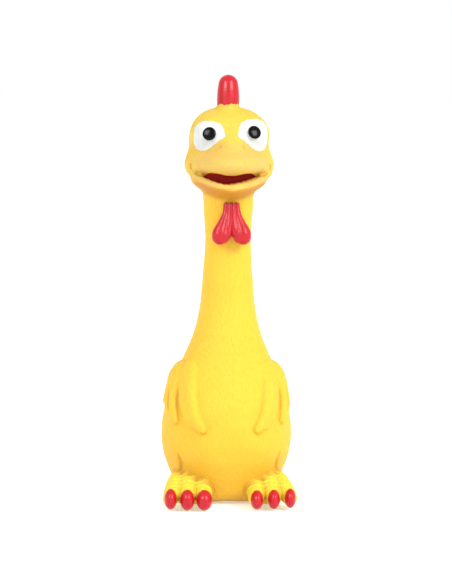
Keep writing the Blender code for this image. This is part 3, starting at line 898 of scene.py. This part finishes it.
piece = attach(build("head_skin_soft", rest, LATEX), "head")
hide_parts("head_skin")
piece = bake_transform(build("comb_soft", comb_patch, RED))
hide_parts("comb")
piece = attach(build("mouth_roof", roof, MAROON, wall=LINING_WALL), "head")
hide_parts("mouth_lining")
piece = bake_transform(build("lower_beak_soft", jaw_patch, LATEX))
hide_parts("lower_beak")
piece = build("lower_beak_lining", jaw_floor, MAROON, wall=LINING_WALL)
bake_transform(piece)
for label, patch, side in (("left", eye_left, 1), ("right", eye_right, -1)):
    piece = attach(build(f"eye_white_{label}_soft", patch, WHITE), "head")
    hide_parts(f"eye_white_{label}")

# ---------------------------------------- pupils

PUPIL_RADIUS, PUPIL_RISE, PUPIL_SUNK, PUPIL_BOX = 4.35, 1.1, 0.1, 6
PUPIL_OUT, PUPIL_UP = 0.15, 0.20  # how much each bead leans outwards and up from the eye's surface
for label, x, z in (("left", 14.8, 243.2), ("right", -14.4, 242.1)):
    place, direction = settle(skin, np.array([front_point(skin, x, z)], np.float32))
    lean = np.array([math.copysign(PUPIL_OUT, x), 0, PUPIL_UP], np.float32)
    place, direction = place[0], direction[0] + lean
    turn = np.array(Vector(direction.tolist()).to_track_quat("Z", "Y").to_matrix(), np.float32)

    def bead(p, place=place, turn=turn):
        q = (p - place) @ turn
        return egg(q, (0, 0, -PUPIL_SUNK), (PUPIL_RADIUS, PUPIL_RADIUS, PUPIL_RISE))

    low, high = place - PUPIL_BOX, place + PUPIL_BOX
    patch = Patch(*surface(bead, tuple(low), tuple(high), PUPIL_STEP), bead)
    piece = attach(build(f"pupil_{label}_bead", patch, BLACK), "head")
    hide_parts(f"pupil_{label}")

# ---------------------------------------- wattles

WATTLE_SHIFT = 0.9  # the wattles hang a little off the middle
RIBS = [
    [
        (0.6, -17.8, 196.8, 1.7), (0.8, -18.5, 190.0, 2.1), (1.1, -19.0, 184.5, 2.6),
        (2.4, -19.3, 179.6, 3.2), (4.8, -19.2, 175.8, 4.1),
    ],
    [
        (3.4, -17.3, 196.4, 1.7), (4.0, -18.0, 190.0, 2.2), (5.8, -18.8, 184.0, 3.3),
        (7.6, -19.3, 178.2, 4.8), (7.8, -19.2, 175.4, 5.0),
    ],
]
WATTLE_TOP, WATTLE_GAP = 197.4, 0.03


def wattle(p):
    """Two soft ribs side by side, with their backs laid on the neck."""
    flat = np.column_stack([p[:, 0], p[:, 1] * 1.15 + 2.7, p[:, 2]])
    found = join(chain(flat, RIBS[0]), chain(flat, RIBS[1]), 1.0)
    ragged = 0.5 * np.sin(p[:, 0] * 1.9 + 0.8) + 0.3 * np.sin(p[:, 0] * 4.3)
    return np.maximum(found, p[:, 2] - WATTLE_TOP - ragged)


for label, side in (("left", 1), ("right", -1)):

    def lobe(p, side=side):
        q = (p - np.array([WATTLE_SHIFT, 0, 0], np.float32)) * np.array([side, 1, 1], np.float32)
        return carve(np.maximum(wattle(q), WATTLE_GAP - q[:, 0]), solid(p) - 0.35, 0.5)

    low = (-1, -27, 166) if side > 0 else (-14, -27, 166)
    patch = Patch(*surface(lobe, low, (low[0] + 16, -12, 201), WATTLE_STEP), lobe)
    piece = build(f"wattle_{label}_soft", patch, RED)
    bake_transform(piece)
    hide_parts(f"wattle_{label}")

# ---------------------------------------- feet

# The centre and radii of each nail, and how much larger those of each foot are
NAILS = [
    ((17.0, -42.0, 7.3), (4.6, 6.6, 6.8)),
    ((28.0, -42.2, 7.6), (4.4, 6.3, 6.9)),
    ((38.7, -41.4, 8.0), (4.1, 6.3, 6.9)),
]
NAIL_GROWTH = {"left": [(0.91, 1, 0.94)] * 3, "right": [(1.15, 1, 1.0), (1.08, 1, 1.0), (1.0, 1, 1.0)]}
for label, side in (("left", 1), ("right", -1)):
    low, high = ((3, -50, -2), (48, 24, 36)) if side > 0 else ((-48, -50, -2), (-3, 24, 36))
    patch = Patch(*surface(foot_piece, low, high, FOOT_STEP), foot_piece)
    shares = {"toe": lambda p: ramp(torso(p), 0.4, 4.0)}
    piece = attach(build(f"foot_{label}_soft", patch, LATEX, shares=shares), "torso")
    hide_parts(f"foot_{label}")
    for which, ((x, y, z), radii), growth in zip(("inner", "middle", "outer"), NAILS, NAIL_GROWTH[label]):

        def nail(p, x=x * side, y=y, z=z, radii=np.multiply(radii, growth)):
            """An egg, cut off behind along a ragged line."""
            found = egg(p, (x, y, z), radii)
            ragged = 0.25 * np.sin(p[:, 0] * 2.1 + p[:, 2] * 1.3) + 0.2 * np.sin(p[:, 2] * 2.9 + x)
            return -join(-found, -(p[:, 1] - y + 0.4 + ragged), 0.5)

        low, high = (x * side - 6, -50, -1), (x * side + 6, -36, 16)
        patch = Patch(*surface(nail, low, high, NAIL_STEP), nail)
        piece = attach(build(f"toenail_{which}_{label}_soft", patch, RED), "torso")
        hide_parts(f"toenail_{which}_{label}")

# ---------------------------------------- squeaker

SQUEAKER = ("squeaker_housing", "squeaker_grille", "squeaker_cap", "reed_block", "reed_clamp")
for node, material in (*((node, PLASTIC) for node in SQUEAKER), ("reed_tongue", BRASS)):
    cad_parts[node].data.materials.clear()
    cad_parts[node].data.materials.append(material)

# ---------------------------------------- stage, light, camera

scene = bpy.context.scene
scene.view_settings.view_transform = "Standard"
world = bpy.data.worlds.new("studio")
scene.world = world
world.use_nodes = True
world.node_tree.nodes["Background"].inputs["Color"].default_value = (1.0, 1.0, 1.0, 1.0)
world.node_tree.nodes["Background"].inputs["Strength"].default_value = 1.0

FLOOR_HALF = 40  # metres, so that its edge is never in view
floor_mesh = bpy.data.meshes.new("floor")
corners = [(x * FLOOR_HALF, y * FLOOR_HALF, 0) for x, y in ((-1, -1), (1, -1), (1, 1), (-1, 1))]
floor_mesh.from_pydata(corners, [], [(0, 1, 2, 3)])
floor = bpy.data.objects.new("floor", floor_mesh)
scene.collection.objects.link(floor)
pale = Shader("floor_pale", 0.9)
pale.shader.inputs["Base Color"].default_value = (0.80, 0.80, 0.80, 1.0)
pale.shader.inputs["Specular IOR Level"].default_value = 0.0
pale.shader.inputs["Emission Color"].default_value = (1.0, 1.0, 1.0, 1.0)
pale.shader.inputs["Emission Strength"].default_value = 0.35
floor_mesh.materials.append(pale.material)


def aimed(data, azimuth, elevation):
    """A light that shines from that direction, where azimuth 0 is in front and 90 at the toy's left."""
    a, e = math.radians(azimuth), math.radians(elevation)
    toward = Vector((math.sin(a) * math.cos(e), -math.cos(a) * math.cos(e), math.sin(e)))
    light = bpy.data.objects.new(data.name, data)
    light.rotation_mode = "QUATERNION"
    light.rotation_quaternion = toward.to_track_quat("Z", "Y")
    scene.collection.objects.link(light)
    return light, toward


# Two soft suns, which glossy surfaces don't mirror
for name, azimuth, strength in (("key_left", 48, 2.45), ("key_right", -48, 0.95)):
    data = bpy.data.lights.new(name, "SUN")
    data.energy, data.angle = strength, math.radians(24)
    aimed(data, azimuth, 38)[0].visible_glossy = False

# Two soft boxes, which only glossy surfaces mirror
BOX_MIDDLE, BOX_DISTANCE = Vector((0, 0, 0.15)), 1.6
for name, azimuth in (("box_left", 36), ("box_right", -40)):
    data = bpy.data.lights.new(name, "AREA")
    data.shape = "RECTANGLE"
    data.size, data.size_y, data.energy = 0.6, 0.62, 17
    light, toward = aimed(data, azimuth, 26)
    light.location = BOX_MIDDLE + toward * BOX_DISTANCE
    light.visible_diffuse = False

DISTANCE, EYE_HEIGHT, AZIMUTH, ROLL = 1.2, 0.270, math.radians(-4.3), math.radians(0.5)
AIM = Vector((-0.0010, 0.0, 0.1375))
DEGREES_HIGH = 18.14  # how much the camera sees from top to bottom
data = bpy.data.cameras.new("camera")
camera = bpy.data.objects.new("camera", data)
scene.collection.objects.link(camera)
camera.location = (DISTANCE * math.sin(AZIMUTH), -DISTANCE * math.cos(AZIMUTH), EYE_HEIGHT)
camera.rotation_mode = "QUATERNION"
facing = (camera.location - AIM).to_track_quat("Z", "Y")
camera.rotation_quaternion = facing @ Matrix.Rotation(ROLL, 4, "Z").to_quaternion()
data.sensor_fit = "VERTICAL"
data.sensor_height = 24.0
data.lens = data.sensor_height / 2 / math.tan(math.radians(DEGREES_HIGH / 2))
scene.camera = camera
